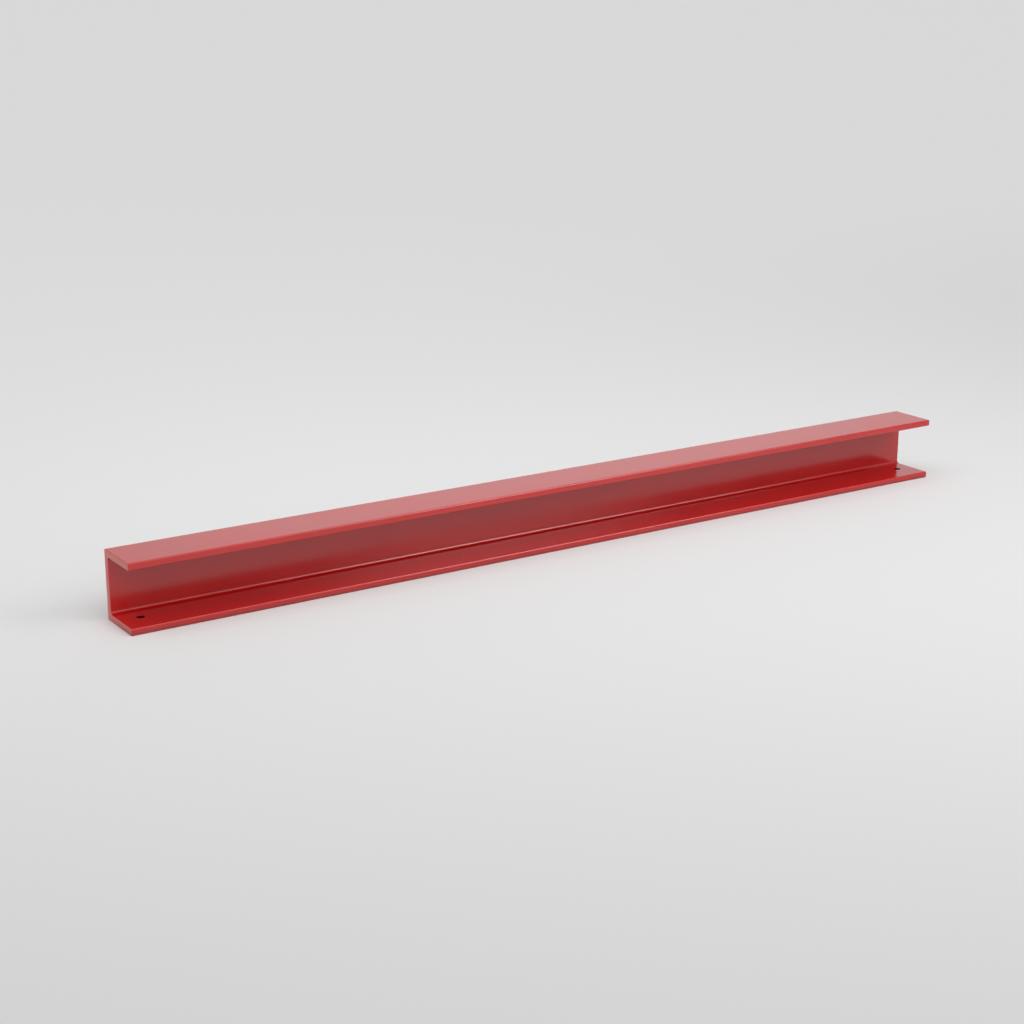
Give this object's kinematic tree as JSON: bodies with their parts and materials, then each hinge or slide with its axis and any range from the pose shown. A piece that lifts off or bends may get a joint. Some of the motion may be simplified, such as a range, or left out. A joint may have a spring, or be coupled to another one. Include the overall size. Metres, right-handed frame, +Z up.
{
  "type": "steel header track",
  "caption": "Straight steel C channel painted red, open along one side, that heads an opening and takes a panel edge, with screw holes near the ends of its lower flange.",
  "frame": {"origin": "middle of the track's length and depth, on the underside of the lower flange", "axes": "+X along the track, +Y from the open side to the back of the web, +Z up from the lower flange to the upper flange"},
  "size_m": [0.9144, 0.0508, 0.0635],
  "materials": {
    "red_paint": "satin red paint over smooth steel"
  },
  "bodies": {
    "root": {"header_track": "red_paint"}
  },
  "joints": []
}
